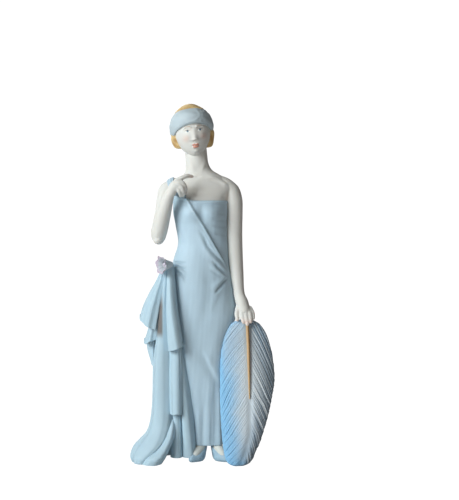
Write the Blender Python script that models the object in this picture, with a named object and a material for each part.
"""Porcelain lady with a feather fan, as the castings that a figure maker sticks together with slip.

The lady faces -Y and stands on Z = 0. Sizes below are millimetres on the figure's own axes, with
X = 0 at the middle of her waist. Each casting is a closed solid, and a joint gap parts it from the
castings that it is stuck to. At the end the figure is moved to stand centred on the origin.
"""

import math

import bmesh
import bpy
import numpy as np
from mathutils import Matrix, Vector

MM = 0.001
FIGURE = "porcelain_figurine"
HELPERS = "joint_cutters"

JOINT_GAP = 0.35  # the slip joint between two castings
WALL = 3.0  # slip-cast wall of the gown
VENT_RADIUS = 3.0  # hole that lets the kiln gases out of the gown
BODICE_TOP = 162.0
HEM = 10.5
ROUND = 22  # points round a body section
FOLD_POINTS = 9  # points across one side of a drape

# Sections of the gown: height, centre x, centre y, half width, depth in front, depth behind.
GOWN = [
    (10.5, 4.9, 0.0, 9.1, 9.0, 10.0),
    (24.0, 4.4, 0.0, 9.6, 9.4, 10.0),
    (42.0, 3.2, 0.0, 10.8, 10.6, 10.5),
    (64.0, 1.4, 0.0, 12.6, 12.0, 11.5),
    (76.0, 0.6, 0.0, 15.2, 12.8, 12.5),
    (90.0, 0.9, 0.0, 18.5, 13.4, 14.0),
    (105.0, 0.2, 0.0, 18.9, 13.0, 15.0),
    (123.0, 0.4, 0.0, 17.9, 12.0, 13.5),
    (135.0, 2.1, 0.0, 16.3, 11.0, 11.0),
    (146.0, 1.0, 0.0, 16.7, 12.2, 10.4),
    (154.0, 0.4, 0.0, 17.3, 13.2, 10.3),
    (162.0, 0.4, 0.0, 16.9, 11.2, 10.0),
]
BUST = [
    (162.4, 0.2, 0.2, 17.0, 10.9, 10.0),
    (167.0, 0.2, 0.6, 19.5, 10.0, 10.0),
    (170.0, 0.0, 0.9, 21.0, 9.2, 9.6),
    (172.5, -0.3, 1.2, 20.5, 8.3, 9.0),
    (174.5, -0.8, 1.4, 17.5, 7.6, 8.4),
    (176.5, -1.3, 1.4, 13.6, 7.0, 7.8),
    (178.5, -1.7, 1.3, 10.4, 6.6, 7.2),
    (181.0, -2.1, 1.0, 7.9, 6.3, 6.8),
    (185.0, -2.6, 0.6, 6.6, 6.1, 6.5),
    (190.0, -3.2, 0.3, 6.4, 6.1, 6.6),
    (197.0, -3.8, 0.2, 6.3, 6.1, 6.6),
]

HEAD_CENTRE = (-5.2, -0.8, 204.6)
HEAD_LEAN = 8.0  # degrees that the crown leans towards -X
HEAD_TURN = 5.0  # degrees that the face turns towards +X
SKULL = (11.2, 13.2, 15.7)  # half width, half depth and half height without the hair
HAIR_THICK = 2.0
HAIR_UNDER_BAND = 0.9
BAND_THICK = 2.3
# The band's edges, as heights above the middle of the head at y = -20 and at y = +20.
BAND_LOWER_EDGE = (7.9, -11.9)
BAND_UPPER_EDGE = (14.6, 12.6)

# Limbs: x, y, z, radius down the middle of each.
RIGHT_UPPER_ARM = [
    (-19.0, 1.6, 171.0, 5.2),
    (-22.4, 1.4, 165.5, 5.3),
    (-24.6, 0.8, 156.0, 4.9),
    (-26.2, -0.8, 146.0, 4.8),
    (-26.4, -2.2, 139.6, 4.9),
    (-26.2, -3.4, 136.0, 3.4),
]
RIGHT_FOREARM = [
    (-26.2, -2.0, 138.4, 4.6),
    (-25.2, -5.2, 144.5, 5.0),
    (-22.6, -10.4, 154.6, 4.5),
    (-20.2, -14.2, 162.6, 3.6),
    (-18.4, -16.2, 167.6, 3.2),
    (-16.4, -17.2, 171.2, 3.6),
    (-13.6, -17.6, 173.4, 2.6),
]
RIGHT_FINGERS = {
    "index": [(-14.6, -17.4, 173.8, 1.6), (-11.0, -17.2, 175.8, 1.4), (-8.0, -16.2, 176.8, 1.25),
              (-5.2, -14.8, 176.4, 0.9)],
    "middle": [(-14.0, -18.4, 173.0, 1.6), (-11.0, -18.8, 172.2, 1.4), (-9.2, -17.6, 169.4, 1.3),
               (-8.8, -15.0, 166.2, 1.0)],
    "ring": [(-14.2, -18.8, 171.4, 1.6), (-11.8, -19.2, 170.0, 1.4), (-10.6, -17.8, 167.2, 1.25),
             (-10.6, -15.0, 164.8, 1.0)],
    "thumb": [(-15.4, -15.6, 171.0, 1.6), (-12.4, -14.4, 170.0, 1.4), (-9.8, -13.6, 167.8, 1.1)],
}
LEFT_ARM = [
    (18.8, 1.4, 170.6, 5.2),
    (21.6, 1.4, 164.8, 5.4),
    (21.6, 1.4, 155.0, 4.9),
    (21.6, 1.2, 142.0, 4.6),
    (22.0, 0.6, 130.0, 4.3),
    (22.8, -1.6, 116.0, 4.0),
    (24.0, -4.4, 104.4, 3.3),
    (25.6, -6.8, 98.4, 4.1),
    (27.0, -8.4, 94.0, 3.4),
]
LEFT_FINGERS = {
    "thumb": [(23.6, -7.4, 96.4, 1.7), (22.4, -9.4, 92.0, 1.5), (22.2, -10.6, 88.4, 1.1)],
    "index": [(25.6, -8.2, 94.4, 1.7), (25.6, -10.8, 90.6, 1.5), (26.2, -12.4, 87.2, 1.1)],
    "middle": [(27.6, -8.6, 94.0, 1.7), (28.0, -11.4, 89.8, 1.5), (28.6, -13.4, 86.0, 1.1)],
    "ring": [(29.4, -8.4, 94.4, 1.6), (30.4, -10.8, 90.8, 1.4), (30.8, -12.6, 87.4, 1.0)],
}
QUILL = [
    (28.6, -12.6, 84.4, 1.0),
    (29.2, -13.2, 74.0, 1.0),
    (29.6, -14.6, 58.0, 0.9),
    (29.8, -17.0, 41.0, 0.45),
]

# Ribbons of cloth: x, y, z, half width down the middle.
SHOULDER_STRAP = [
    (-17.6, 9.2, 163.0, 2.6),
    (-18.2, 7.8, 169.6, 2.6),
    (-18.2, 3.6, 174.4, 2.6),
    (-17.6, -2.0, 175.0, 2.6),
    (-15.8, -7.2, 171.0, 3.2),
    (-13.6, -10.0, 165.6, 4.2),
]
WRAP_EDGE = [
    (-9.6, -11.3, 165.4, 1.0),
    (-4.6, -13.0, 156.6, 1.0),
    (1.2, -12.9, 146.6, 1.0),
    (6.4, -11.4, 137.6, 0.95),
    (11.6, -9.4, 129.0, 0.7),
]

# Drapes, each a stack of rows: height, left edge x y, right edge x y, how far the middle bulges
# forward, how far the cloth's folds stand out in front, and how far the casting goes behind.
FRONT_FALL = [
    (117.0, -20.4, -7.4, -16.6, -9.6, 0.6, 1.2, 6.0),
    (95.0, -21.2, -12.6, -14.2, -15.0, 1.2, 1.6, 7.5),
    (80.0, -20.6, -13.6, -11.6, -16.0, 1.4, 1.9, 8.0),
    (70.5, -19.9, -13.8, -10.0, -15.8, 1.4, 1.9, 8.0),
]
LOWER_TAIL = [
    (74.0, -19.4, -11.0, -12.4, -13.4, 0.4, 1.2, 4.0),
    (50.0, -19.4, -11.2, -12.0, -12.8, 0.6, 1.3, 5.0),
    (29.1, -19.2, -11.6, -11.6, -12.6, 0.6, 1.4, 6.0),
]
TRAIN_OUTER = [
    (116.0, -24.0, -4.8, -20.2, -7.4, 0.8, 1.5, 5.5),
    (95.0, -27.0, -3.6, -20.6, -10.0, 1.8, 2.2, 7.0),
    (75.0, -29.6, -1.8, -20.2, -11.0, 2.4, 2.7, 8.0),
    (60.0, -30.2, -1.4, -19.9, -11.4, 2.8, 3.2, 8.0),
    (35.0, -30.4, 0.6, -19.9, -10.8, 3.2, 4.2, 8.0),
    (18.6, -34.9, -0.6, -21.6, -13.0, 3.6, 5.2, 8.5),
    (9.0, -41.0, -3.4, -26.0, -17.0, 3.8, 5.6, 9.0),
    (3.0, -43.9, -5.6, -31.0, -19.6, 3.8, 5.6, 9.5),
    (0.0, -43.2, -5.6, -31.0, -19.0, 3.6, 5.2, 9.5),
]
TRAIN_UNDER = [
    (34.0, -22.0, -2.8, -18.6, -5.4, 1.0, 2.4, 4.0),
    (20.0, -24.6, -7.4, -17.9, -7.4, 2.0, 4.0, 6.0),
    (9.0, -30.0, -13.8, -18.4, -9.6, 3.0, 5.0, 7.0),
    (2.6, -33.4, -17.6, -20.6, -12.4, 3.0, 5.4, 7.5),
    (0.0, -32.8, -17.2, -20.8, -12.2, 2.8, 5.0, 7.5),
]
INNER_FOLD_LEFT = [
    (70.0, -18.4, -5.4, -12.4, -8.0, 0.8, 2.4, 5.0),
    (36.0, -18.2, -3.8, -11.6, -5.8, 1.0, 2.6, 8.0),
    (14.0, -18.6, -1.8, -11.4, -3.6, 1.4, 3.0, 10.0),
    (0.0, -18.8, 0.0, -11.2, -1.6, 1.6, 3.2, 11.0),
]
INNER_FOLD_RIGHT = [
    (72.0, -12.8, -9.6, -8.4, -12.4, 0.8, 2.0, 5.0),
    (40.0, -12.0, -7.0, -5.4, -9.4, 1.0, 2.2, 7.0),
    (16.0, -11.6, -4.0, -4.0, -6.4, 1.2, 2.4, 9.0),
    (0.0, -11.6, -1.4, -4.6, -3.0, 1.2, 2.8, 10.0),
]
FLARE_UPPER = [
    (116.0, -26.0, -3.4, -22.0, -6.6, 0.4, 1.2, 3.0),
    (104.0, -31.0, -1.6, -23.4, -7.0, 1.0, 1.4, 3.6),
    (94.0, -35.2, -0.6, -24.6, -7.2, 1.4, 1.6, 4.0),
    (84.0, -38.0, -0.4, -26.4, -7.6, 1.6, 1.6, 4.0),
]
FLARE_LOWER = [
    (104.0, -29.4, 1.8, -23.6, -2.2, 0.6, 1.3, 2.6),
    (88.0, -33.6, 3.2, -25.0, -2.6, 1.0, 1.5, 3.0),
    (72.0, -34.6, 3.4, -26.0, -4.2, 1.2, 1.6, 3.2),
]
FLARE_END = [
    (92.0, -28.6, 6.2, -23.6, 2.6, 0.4, 1.3, 2.4),
    (74.0, -32.6, 6.8, -25.4, 1.8, 0.8, 1.5, 3.0),
    (58.0, -32.2, 6.0, -26.2, 2.0, 0.6, 1.3, 3.0),
]
BACK_FALL = [
    (117.0, -10.0, 13.0, -21.0, 3.0, 1.6, 2.0, 4.0),
    (95.0, -8.8, 15.6, -24.4, 4.6, 2.4, 2.5, 5.5),
    (60.0, -6.8, 14.0, -26.6, 4.8, 3.0, 3.2, 7.0),
    (30.0, -5.0, 15.8, -29.0, 6.6, 3.4, 4.5, 8.5),
    (10.0, -3.0, 20.4, -34.6, 8.0, 3.6, 6.0, 9.5),
    (2.0, -2.2, 22.8, -38.0, 8.8, 3.6, 6.5, 10.0),
    (0.0, -2.6, 22.6, -37.6, 8.6, 3.4, 6.3, 10.0),
]
# Slanted hems: how far the left and right corners of the last row sit above or below it.
HEM_SLANT = {"front_fall": (-1.9, 1.9), "flare_upper": (4.6, -4.4), "flare_lower": (-1.6, 1.6),
             "flare_end": (1.6, -1.6)}

# The feather fan: height, left edge x, right edge x, middle y, half thickness.
FEATHER = [
    (88.6, 24.0, 31.6, -8.2, 1.0),
    (87.4, 20.8, 34.0, -8.2, 1.5),
    (84.8, 18.6, 37.0, -8.4, 2.0),
    (79.2, 16.6, 40.6, -8.8, 2.4),
    (70.7, 14.0, 43.4, -9.4, 2.7),
    (60.0, 12.6, 45.3, -10.4, 2.9),
    (50.0, 11.9, 45.7, -11.6, 3.0),
    (40.0, 11.8, 43.8, -13.4, 3.1),
    (29.0, 12.2, 41.4, -15.8, 3.2),
    (18.5, 12.8, 37.5, -18.4, 3.3),
    (9.0, 14.0, 33.4, -20.8, 3.4),
    (4.0, 15.4, 31.2, -22.0, 3.4),
    (1.0, 17.2, 28.2, -22.8, 3.0),
    (0.0, 18.4, 27.0, -23.0, 2.6),
]

FOOT_TURN = {"right": -22.0, "left": 24.0}
ANKLE = {"right": (0.7, -4.2), "left": (9.4, -4.2)}
# A pump in its own frame, toe towards -Y: height, toe y, heel y, half width.
PUMP = [
    (0.0, -11.4, 6.2, 3.5),
    (1.2, -12.4, 6.8, 4.1),
    (3.2, -12.0, 6.8, 4.2),
    (5.2, -9.6, 6.4, 3.9),
    (7.2, -5.6, 5.8, 3.5),
    (8.6, -2.4, 5.2, 3.0),
]
INSTEP = [(0.0, 0.8, 9.9, 2.9), (0.0, -1.0, 7.4, 3.0), (0.0, -4.2, 4.8, 2.8), (0.0, -7.4, 3.0, 1.8)]

FLOWER_BASE = (-17.0, -7.2, 122.6)
FLOWER_FACING = (-0.80, -0.55, -0.22)
PETALS = 5
PETAL_LENGTH = 9.6
PETAL_WALL = 0.9
BLOOM_RADIUS = 6.0

FINISHES = {
    "skin": ((0.86, 0.82, 0.77), 0.42),
    "gown": ((0.62, 0.75, 0.82), 0.5),
    "hair": ((0.80, 0.62, 0.33), 0.5),
    "shoe": ((0.55, 0.70, 0.78), 0.45),
    "feather": ((0.60, 0.74, 0.86), 0.5),
    "gilt": ((0.72, 0.50, 0.22), 0.35),
    "flower": ((0.80, 0.74, 0.84), 0.45),
}


def clear_scene():
    for old in list(bpy.data.objects):
        bpy.data.objects.remove(old)


def collection(name):
    made = bpy.data.collections.new(name)
    bpy.context.scene.collection.children.link(made)
    return made


def finish(name):
    """A matt, unglazed porcelain body colour."""
    made = bpy.data.materials.get(name)
    if made is None:
        colour, roughness = FINISHES[name]
        made = bpy.data.materials.new(name)
        made.use_nodes = True
        shader = made.node_tree.nodes["Principled BSDF"]
        shader.inputs["Base Color"].default_value = (*colour, 1.0)
        shader.inputs["Roughness"].default_value = roughness
        shader.inputs["Metallic"].default_value = 0.0
    return made


def place(mesh, name, home, material=None):
    made = bpy.data.objects.new(name, mesh)
    home.objects.link(made)
    if material:
        mesh.materials.clear()
        mesh.materials.append(finish(material))
    return made


def through(rows, count):
    """Catmull-Rom curve through the rows, at count places evenly along the rows."""
    knots = np.array(rows, float)
    padded = np.vstack([2 * knots[0] - knots[1], knots, 2 * knots[-1] - knots[-2]])
    at = np.linspace(0, len(knots) - 1, count)
    i = np.minimum(at.astype(int), len(knots) - 2)
    t = (at - i)[:, None]
    a, b, c, d = (padded[i + k] for k in range(4))
    return 0.5 * (2 * b + (c - a) * t + (2 * a - 5 * b + 4 * c - d) * t**2
                  + (3 * b - a - 3 * c + d) * t**3)


def loft(rings):
    """A closed mesh over a stack of rings of equally many points, in millimetres."""
    shell = bmesh.new()
    rows = [[shell.verts.new(Vector(p) * MM) for p in ring] for ring in rings]
    count = len(rows[0])
    for low, high in zip(rows, rows[1:]):
        for i in range(count):
            j = (i + 1) % count
            shell.faces.new((low[i], low[j], high[j], high[i]))
    for cap in (rows[0], rows[-1]):
        for i in range(count // 2 - 1):
            shell.faces.new((cap[i], cap[i + 1], cap[count - 2 - i], cap[count - 1 - i]))
    # Triangles now, so that a copy grown by the joint gap keeps the same facets.
    bmesh.ops.triangulate(shell, faces=shell.faces[:])
    bmesh.ops.recalc_face_normals(shell, faces=shell.faces)
    mesh = bpy.data.meshes.new("loft")
    shell.to_mesh(mesh)
    shell.free()
    mesh.shade_smooth()
    return mesh


def body_rings(sections, count, grow=0.0, points=ROUND):
    """Egg-shaped rings, deeper in front or behind as each section says."""
    turn = (np.arange(points) + 0.5) * 2 * math.pi / points
    rings = []
    for z, x, y, half, front, back in through(sections, count):
        depth = np.where(np.cos(turn) > 0, front, back) + grow
        rings.append(np.stack([x + (half + grow) * np.sin(turn), y - depth * np.cos(turn),
                               np.full(points, z)], axis=1))
    return rings


def fold_rings(rows, count, folds, depth, slant=(0.0, 0.0)):
    """Rings of a hanging cloth: its pleated front from edge to edge, and a plain back."""
    across = np.linspace(0, 1, FOLD_POINTS)
    pleat = np.abs(np.cos(math.pi * folds * across))
    round_off = np.sin(math.pi * np.clip(across, 0.04, 0.96)) ** 0.5
    stack = through(rows, count)
    rings = []
    for k, (z, left_x, left_y, right_x, right_y, bulge, ahead, behind) in enumerate(stack):
        down = k / (count - 1)
        run = np.array([right_x - left_x, right_y - left_y])
        out = np.array([run[1], -run[0]]) / np.linalg.norm(run)
        middle = np.array([left_x, left_y]) + across[:, None] * run
        middle += out * (bulge * np.sin(math.pi * across))[:, None]
        front = middle + out * ((ahead + depth * down**0.5 * pleat) * round_off)[:, None]
        back = middle - out * (behind * round_off)[:, None]
        height = z + down**3 * (slant[0] + (slant[1] - slant[0]) * across)
        top, under = np.column_stack([front, height]), np.column_stack([back, height])
        rings.append(np.vstack([top, under[::-1]]))
    return rings


def tube(name, path, home, count, sides=10):
    """A limb: a curve through the path, its bevel following the radii, made one closed mesh."""
    curve = bpy.data.curves.new(name, "CURVE")
    curve.dimensions = "3D"
    curve.bevel_depth = MM
    curve.bevel_resolution = sides // 2 - 2
    curve.use_fill_caps = True
    line = curve.splines.new("POLY")
    points = through(path, count)
    line.points.add(count - 1)
    for point, (x, y, z, radius) in zip(line.points, points):
        point.co = (x * MM, y * MM, z * MM, 1.0)
        point.radius = radius
    limb = bpy.data.objects.new(name, curve)
    home.objects.link(limb)
    bpy.context.view_layer.update()
    graph = bpy.context.evaluated_depsgraph_get()
    mesh = bpy.data.meshes.new_from_object(limb.evaluated_get(graph))
    bpy.data.objects.remove(limb)
    shell = bmesh.new()
    shell.from_mesh(mesh)
    bmesh.ops.remove_doubles(shell, verts=shell.verts, dist=0.01 * MM)
    bmesh.ops.recalc_face_normals(shell, faces=shell.faces)
    shell.to_mesh(mesh)
    shell.free()
    mesh.shade_smooth()
    return mesh


def ribbon(path, count, thick):
    """A flat band of cloth that lies along the path, facing away from the figure's axis."""
    rows = through(path, count)
    middle, half = rows[:, :3], rows[:, 3]
    along = np.gradient(middle, axis=0)
    along /= np.linalg.norm(along, axis=1, keepdims=True)
    core = np.array([-2.0, 1.0, 0.0])
    out = middle - core
    out[:, 2] = np.maximum(middle[:, 2] - 158.0, 0.0) * 1.6
    across = np.cross(along, out)
    across /= np.linalg.norm(across, axis=1, keepdims=True)
    out = np.cross(across, along)
    rings = []
    for p, a, o, h in zip(middle, across, out, half):
        rings.append([p - a * h - o * thick, p - a * h, p - a * 0.6 * h + o * thick,
                      p + a * 0.6 * h + o * thick, p + a * h, p + a * h - o * thick])
    return loft(rings)


def skull(grow=0.0, segments=20, rows=14):
    """The head: an egg that narrows to the chin, leaning as the neck carries it."""
    shell = bmesh.new()
    bmesh.ops.create_uvsphere(shell, u_segments=segments, v_segments=rows, radius=1.0)
    for vert in shell.verts:
        x, y, z = vert.co
        low = min(max(-z, 0.0), 1.0)
        jaw = 1.0 - 0.34 * low**1.5
        set_back = 1.0 - 0.42 * low if y > 0 else 1.0 - 0.06 * low
        vert.co = Vector((x * jaw * (SKULL[0] + grow), y * set_back * (SKULL[1] + grow) - 1.6 * low**2,
                          z * (SKULL[2] + grow)))
    mesh = bpy.data.meshes.new("skull")
    shell.to_mesh(mesh)
    shell.free()
    mesh.transform(head_frame() @ Matrix.Scale(MM, 4))
    mesh.shade_smooth()
    return mesh


def head_frame():
    lean = Matrix.Rotation(math.radians(-HEAD_LEAN), 4, "Y")
    turn = Matrix.Rotation(math.radians(HEAD_TURN), 4, "Z")
    return Matrix.Translation(Vector(HEAD_CENTRE) * MM) @ lean @ turn


def block(low, high):
    """A box in the head's frame, from its low corner to its high corner."""
    return wedge(low[0], high[0], (low[1], high[1]), (low[2], low[2]), (high[2], high[2]))


def wedge(left, right, ys, lows, highs):
    """A box in the head's frame whose floor and roof may slope from front to back."""
    rings = [[(left, y, low), (right, y, low), (right, y, high), (left, y, high)]
             for y, low, high in zip(ys, lows, highs)]
    mesh = loft(rings)
    mesh.transform(head_frame())
    return mesh


def evaluated_mesh(piece):
    bpy.context.view_layer.update()
    graph = bpy.context.evaluated_depsgraph_get()
    return bpy.data.meshes.new_from_object(piece.evaluated_get(graph))


def as_helper(mesh, name, helpers, grow=0.0):
    """A hidden copy that cuts: it stands off from the casting it copies by the joint gap."""
    cutter = place(mesh, name, helpers)
    cutter.hide_render = True
    cutter.display_type = "WIRE"
    if grow:
        swell = cutter.modifiers.new("joint_gap", "DISPLACE")
        swell.strength = grow * MM
        swell.mid_level = 0.0
    return cutter


def combine(piece, other, operation):
    step = piece.modifiers.new(operation.lower(), "BOOLEAN")
    step.operation = operation
    step.solver = "EXACT"
    step.object = other


def settle(piece):
    """Applies the Booleans and keeps the largest body, dropping chips that a cut leaves."""
    mesh = evaluated_mesh(piece)
    piece.modifiers.clear()
    shell = bmesh.new()
    shell.from_mesh(mesh)
    bmesh.ops.remove_doubles(shell, verts=shell.verts, dist=0.002 * MM)
    shell.verts.ensure_lookup_table()
    unseen, bodies = set(shell.verts), []
    while unseen:
        edge_of_body = [unseen.pop()]
        body = set(edge_of_body)
        while edge_of_body:
            for edge in edge_of_body.pop().link_edges:
                for vert in edge.verts:
                    if vert in unseen:
                        unseen.discard(vert)
                        body.add(vert)
                        edge_of_body.append(vert)
        bodies.append(body)
    keep = max(bodies, key=len)
    bmesh.ops.delete(shell, geom=[v for v in shell.verts if v not in keep], context="VERTS")
    shell.to_mesh(mesh)
    shell.free()
    mesh.materials.clear()
    for material in piece.data.materials:
        mesh.materials.append(material)
    piece.data = mesh
    mesh.shade_smooth()
    mesh.set_sharp_from_angle(angle=math.radians(40))


def hollow_gown(home, helpers):
    """The gown is slip-cast: a hollow shell with a vent under the hem."""
    gown = place(loft(body_rings(GOWN, 22)), "gown_body", home, "gown")
    inside = [(z, x, y, half - WALL, front - WALL, back - WALL) for z, x, y, half, front, back in GOWN]
    inside[0] = (HEM + WALL, *inside[0][1:])
    inside[-1] = (BODICE_TOP - WALL, *inside[-1][1:])
    cavity = as_helper(loft(body_rings(inside, 14, points=14)), "gown_cavity", helpers)
    combine(gown, cavity, "DIFFERENCE")
    bpy.ops.mesh.primitive_cylinder_add(vertices=16, radius=VENT_RADIUS * MM, depth=3 * WALL * MM,
                                        location=(4.9 * MM, 3.0 * MM, HEM * MM))
    vent = as_helper(bpy.context.object.data, "vent", helpers)
    vent.location = bpy.context.object.location
    bpy.data.objects.remove(bpy.context.object)
    combine(gown, vent, "DIFFERENCE")
    return gown


def head_pieces(home, helpers):
    """Face, hair cap with its puffs over the ears, headband and the gathers on its side."""
    pieces = {"head": place(skull(), "head", home, "skin")}
    slab = as_helper(wedge(-20, 20, (-20, 20), BAND_LOWER_EDGE, BAND_UPPER_EDGE), "band_slab", helpers)
    wide_slab = as_helper(wedge(-21, 21, (-20, 20), [z - JOINT_GAP for z in BAND_LOWER_EDGE],
                                [z + JOINT_GAP for z in BAND_UPPER_EDGE]), "wide_slab", helpers)
    gap = as_helper(skull(JOINT_GAP), "skull_gap", helpers)
    under = as_helper(skull(HAIR_UNDER_BAND), "hair_under_band", helpers)
    over = as_helper(skull(HAIR_UNDER_BAND + JOINT_GAP), "hair_gap", helpers)
    face = as_helper(block((-8.8, -22.0, -23.0), (8.8, -3.0, 11.0)), "face_opening", helpers)
    face_in_band = as_helper(block((-8.5, -22.5, -25.0), (8.5, -3.4, 10.6)), "forehead", helpers)
    nape = as_helper(block((-20, -20, -26.0), (20, 20, -11.5)), "nape_trim", helpers)
    combine(wide_slab, under, "DIFFERENCE")
    combine(over, face_in_band, "DIFFERENCE")
    hair = place(skull(HAIR_THICK), "hair", home, "hair")
    for cutter in (gap, face, wide_slab, nape):
        combine(hair, cutter, "DIFFERENCE")
    band = place(skull(BAND_THICK), "headband", home, "gown")
    combine(band, slab, "INTERSECT")
    combine(band, gap, "DIFFERENCE")
    combine(band, over, "DIFFERENCE")
    bpy.ops.mesh.primitive_uv_sphere_add(segments=12, ring_count=8, radius=MM)
    knot = place(bpy.context.object.data, "headband_knot", home, "gown")
    bpy.data.objects.remove(bpy.context.object)
    seat = head_frame() @ Matrix.Translation(Vector((10.6, -7.2, 6.6)) * MM)
    knot.data.transform(seat @ Matrix.Rotation(math.radians(34), 4, "Z") @ Matrix.Diagonal((1.9, 3.2, 4.2, 1)))
    band_gap = as_helper(skull(BAND_THICK + JOINT_GAP), "band_gap", helpers)
    combine(knot, band_gap, "DIFFERENCE")
    pieces.update(hair=hair, headband=band, headband_knot=knot)
    return pieces


def arm(name, limbs, fingers, home, helpers):
    """One arm casting: its tubes and fingers joined."""
    made = place(tube(name, limbs[0], home, 12, 10), name, home, "skin")
    extras = [(path, 12, 10) for path in limbs[1:]] + [(path, 5, 6) for path in fingers.values()]
    for k, (path, count, sides) in enumerate(extras):
        part = tube(name, path, home, count, sides)
        combine(made, as_helper(part, f"{name}_{k}", helpers), "UNION")
    settle(made)
    return made


def foot_and_pump(side, home):
    """A bare instep and the pump round it, turned out from the ankle."""
    turn = math.radians(FOOT_TURN[side])
    ankle_x, ankle_y = ANKLE[side]
    spread = np.array([[math.cos(turn), -math.sin(turn)], [math.sin(turn), math.cos(turn)]])

    def stand(points):
        flat = np.array(points, float)
        flat[:, :2] = flat[:, :2] @ spread.T + (ankle_x, ankle_y)
        return flat

    instep = np.array(INSTEP)
    path = np.column_stack([stand(instep[:, :3]), instep[:, 3]])
    foot = place(tube(f"{side}_foot", path, home, 6, 8), f"{side}_foot", home, "skin")
    turn_round = (np.arange(16) + 0.5) * math.pi / 8
    rings = []
    for z, toe, heel, half in through(PUMP, 8):
        length, middle = (heel - toe) / 2, (heel + toe) / 2
        narrow = 1.0 - 0.18 * np.cos(turn_round)
        ring = np.column_stack([half * narrow * np.sin(turn_round), middle + length * np.cos(turn_round),
                                np.full(16, z)])
        rings.append(stand(ring))
    shoe = place(loft(rings), f"{side}_shoe", home, "shoe")
    return foot, shoe


def feather_rings(count):
    """Lens sections of the plume, with a hollow down its front for the quill."""
    points = 9
    across = np.linspace(-1, 1, points)
    rings = []
    for z, left, right, y, thick in through(FEATHER, count):
        x = (left + right) / 2 + across * (right - left) / 2
        swell = thick * (1 - across**2) ** 0.5 + 0.3
        front = np.column_stack([x, y - swell, np.full(points, z)])
        back = np.column_stack([x, y + swell, np.full(points, z)])
        rings.append(np.vstack([front, back[::-1]]))
    return rings


def flower(home):
    """A bell of petals that opens from the hip, and the bud in its throat."""
    facing = Vector(FLOWER_FACING).normalized().to_track_quat("Z", "Y").to_matrix().to_4x4()
    seat = Matrix.Translation(Vector(FLOWER_BASE) * MM) @ facing
    bpy.ops.mesh.primitive_uv_sphere_add(segments=10, ring_count=7, radius=MM)
    bud = place(bpy.context.object.data, "flower_bud", home, "flower")
    bpy.data.objects.remove(bpy.context.object)
    bud.data.transform(seat @ Matrix.Translation((0, 0, 4.0 * MM)) @ Matrix.Diagonal((1.5, 1.5, 2.8, 1)))
    pieces = [bud]
    across = np.linspace(-1, 1, 6)
    for k in range(PETALS):
        rings = []
        for t in np.linspace(0, 1, 7):
            radius = 1.6 + (BLOOM_RADIUS - 1.6) * t**0.8
            spread = math.pi / PETALS * (1.0 - 0.5 * t**4) - 0.5 * JOINT_GAP / radius
            turn = 2 * math.pi * k / PETALS + spread * across
            along = PETAL_LENGTH * t
            outer = np.column_stack([radius * np.cos(turn), radius * np.sin(turn), np.full(6, along)])
            inner = outer * [1 - PETAL_WALL / radius, 1 - PETAL_WALL / radius, 1.0]
            rings.append(np.vstack([outer, inner[::-1]]))
        petal = place(loft(rings), f"flower_petal_{k + 1}", home, "flower")
        petal.data.transform(seat)
        pieces.append(petal)
    return pieces


def drapes(home):
    """The sash that falls from the hip: falls, flares, tail and train."""
    plan = {
        "front_fall": (FRONT_FALL, 7, 1.0, 0.9),
        "lower_tail": (LOWER_TAIL, 5, 1.5, 0.6),
        "train_outer": (TRAIN_OUTER, 13, 2.0, 1.2),
        "train_under": (TRAIN_UNDER, 8, 1.5, 1.0),
        "inner_fold_left": (INNER_FOLD_LEFT, 6, 1.0, 0.8),
        "inner_fold_right": (INNER_FOLD_RIGHT, 6, 1.0, 0.8),
        "flare_upper": (FLARE_UPPER, 6, 1.5, 0.9),
        "flare_lower": (FLARE_LOWER, 5, 1.5, 0.8),
        "flare_end": (FLARE_END, 5, 1.0, 0.6),
        "back_fall": (BACK_FALL, 11, 3.0, 1.4),
    }
    made = {}
    for name, (rows, count, folds, depth) in plan.items():
        rings = fold_rings(rows, count, folds, depth, HEM_SLANT.get(name, (0.0, 0.0)))
        made[name] = place(loft(rings), name, home, "gown")
    return made


def stand_on_origin(home):
    """Moves the castings so that the figure's box stands centred on the origin."""
    bpy.context.view_layer.update()
    graph = bpy.context.evaluated_depsgraph_get()
    corners = [piece.evaluated_get(graph).matrix_world @ Vector(corner)
               for piece in home.objects for corner in piece.evaluated_get(graph).bound_box]
    low = Vector([min(c[k] for c in corners) for k in range(3)])
    high = Vector([max(c[k] for c in corners) for k in range(3)])
    base = Vector(((low.x + high.x) / 2, (low.y + high.y) / 2, low.z))
    for piece in home.objects:
        piece.data.transform(Matrix.Translation(-base))


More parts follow.
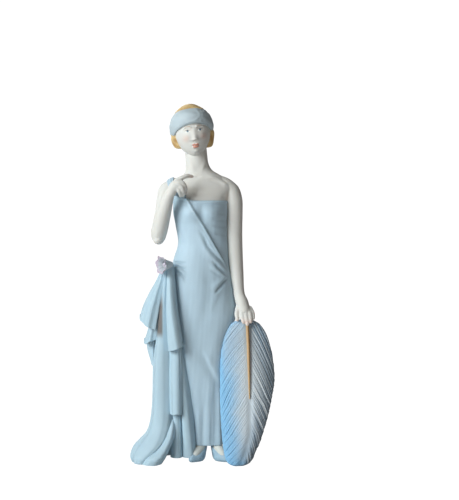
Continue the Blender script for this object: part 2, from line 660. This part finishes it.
def build():
    clear_scene()
    home, helpers = collection(FIGURE), collection(HELPERS)
    pieces = {"gown_body": hollow_gown(home, helpers)}
    raw = {"gown_body": loft(body_rings(GOWN, 22))}
    pieces.update(head_pieces(home, helpers))
    raw["head"] = skull()
    pieces["bust"] = place(loft(body_rings(BUST, 16, points=20)), "bust", home, "skin")
    pieces["shoulder_strap"] = place(ribbon(SHOULDER_STRAP, 10, 0.9), "shoulder_strap", home, "gown")
    pieces["wrap_edge"] = place(ribbon(WRAP_EDGE, 10, 0.8), "wrap_edge", home, "gown")
    pieces["right_arm"] = arm("right_arm", [RIGHT_UPPER_ARM, RIGHT_FOREARM], RIGHT_FINGERS, home, helpers)
    pieces["left_arm"] = arm("left_arm", [LEFT_ARM], LEFT_FINGERS, home, helpers)
    pieces.update(drapes(home))
    for side in ("right", "left"):
        pieces[f"{side}_foot"], pieces[f"{side}_shoe"] = foot_and_pump(side, home)
    pieces["feather_fan"] = place(loft(feather_rings(17)), "feather_fan", home, "feather")
    pieces["feather_quill"] = place(tube("feather_quill", QUILL, home, 8, 6), "feather_quill", home, "gilt")
    for piece in flower(home):
        pieces[piece.name] = piece
    for name, piece in pieces.items():
        if name not in raw:
            raw[name] = evaluated_mesh(piece)

    petals = [f"flower_petal_{k + 1}" for k in range(PETALS)]
    sash = ["front_fall", "train_outer", "flare_upper", "flare_lower", "flare_end", "back_fall"]
    stuck_to = {
        "bust": ["head"],
        "hair": ["bust", "headband_knot"],
        "shoulder_strap": ["bust", "gown_body"],
        "wrap_edge": ["gown_body", "shoulder_strap", "bust"],
        "right_arm": ["bust", "gown_body", "shoulder_strap", "wrap_edge"],
        "left_arm": ["bust", "gown_body", "feather_quill"],
        "front_fall": ["gown_body"],
        "train_outer": ["gown_body", "front_fall"],
        "flare_upper": ["gown_body", "train_outer", "front_fall"],
        "flare_lower": ["gown_body", "train_outer", "flare_upper"],
        "flare_end": ["gown_body", "train_outer", "flare_upper", "flare_lower"],
        "lower_tail": ["gown_body", "front_fall", "train_outer"],
        "train_under": ["gown_body", "train_outer", "lower_tail"],
        "right_foot": ["gown_body"],
        "left_foot": ["gown_body"],
        "right_shoe": ["gown_body", "right_foot"],
        "left_shoe": ["gown_body", "left_foot", "right_shoe"],
        "inner_fold_left": ["gown_body", "train_outer", "train_under", "lower_tail", "front_fall"],
        "inner_fold_right": ["gown_body", "train_outer", "train_under", "lower_tail", "front_fall",
                             "inner_fold_left", "right_shoe", "right_foot"],
        "back_fall": ["gown_body", "train_outer", "train_under", "inner_fold_left", "inner_fold_right",
                      "flare_upper", "flare_lower", "flare_end", "right_shoe", "left_shoe"],
        "feather_fan": ["gown_body", "feather_quill", "left_arm", "left_shoe", "left_foot"],
        "flower_bud": ["gown_body", *sash],
        **{petal: ["gown_body", "flower_bud", *sash, *petals[:k]] for k, petal in enumerate(petals)},
    }
    for name, neighbours in stuck_to.items():
        for other in neighbours:
            cutter = as_helper(raw[other].copy(), f"{name}_seat_on_{other}", helpers, JOINT_GAP)
            combine(pieces[name], cutter, "DIFFERENCE")
    for piece in pieces.values():
        settle(piece)
    stand_on_origin(home)


build()
